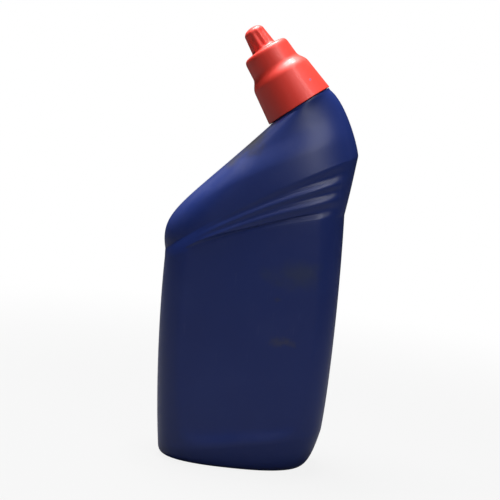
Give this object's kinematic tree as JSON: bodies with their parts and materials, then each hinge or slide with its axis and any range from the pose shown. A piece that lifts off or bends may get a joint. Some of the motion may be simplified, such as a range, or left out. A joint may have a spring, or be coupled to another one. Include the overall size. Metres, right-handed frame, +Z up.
{
  "type": "toilet cleaner bottle",
  "caption": "Squeeze bottle with label panels, a gilled waist and a bent neck, closed by a fluted screw cap over a dropper plug.",
  "frame": {"origin": "under the middle of the body's width and depth, on the surface that the bottle stands on", "axes": "+Z up, front label panel faces -Y, the neck leans towards -X"},
  "size_m": [0.0929, 0.0528, 0.22],
  "materials": {
    "bottle_plastic": "satin blown plastic, deep blue",
    "plug_plastic": "natural soft plastic",
    "liner_foam": "white foamed sheet",
    "cap_plastic": "satin moulded plastic, red"
  },
  "bodies": {
    "bottle": {"bottle": "bottle_plastic", "nozzle_insert": "plug_plastic"},
    "liner": {"liner_ring": "liner_foam"},
    "cap": {"cap": "cap_plastic"}
  },
  "joints": [
    {"name": "cap_lift", "type": "slide", "parent": "bottle", "child": "liner", "axis": [-0.6157, 0, 0.788], "range_m": [0, 0.006]},
    {"name": "cap_turn", "type": "hinge", "parent": "liner", "child": "cap", "pos_m": [0.01445, 0, 0.1824], "axis": [-0.6157, 0, 0.788], "range_deg": [0, 540]}
  ],
  "couplings": [
    {"joint": "cap_turn", "follows": "cap_lift", "rad_per_m": 1570.8}
  ]
}
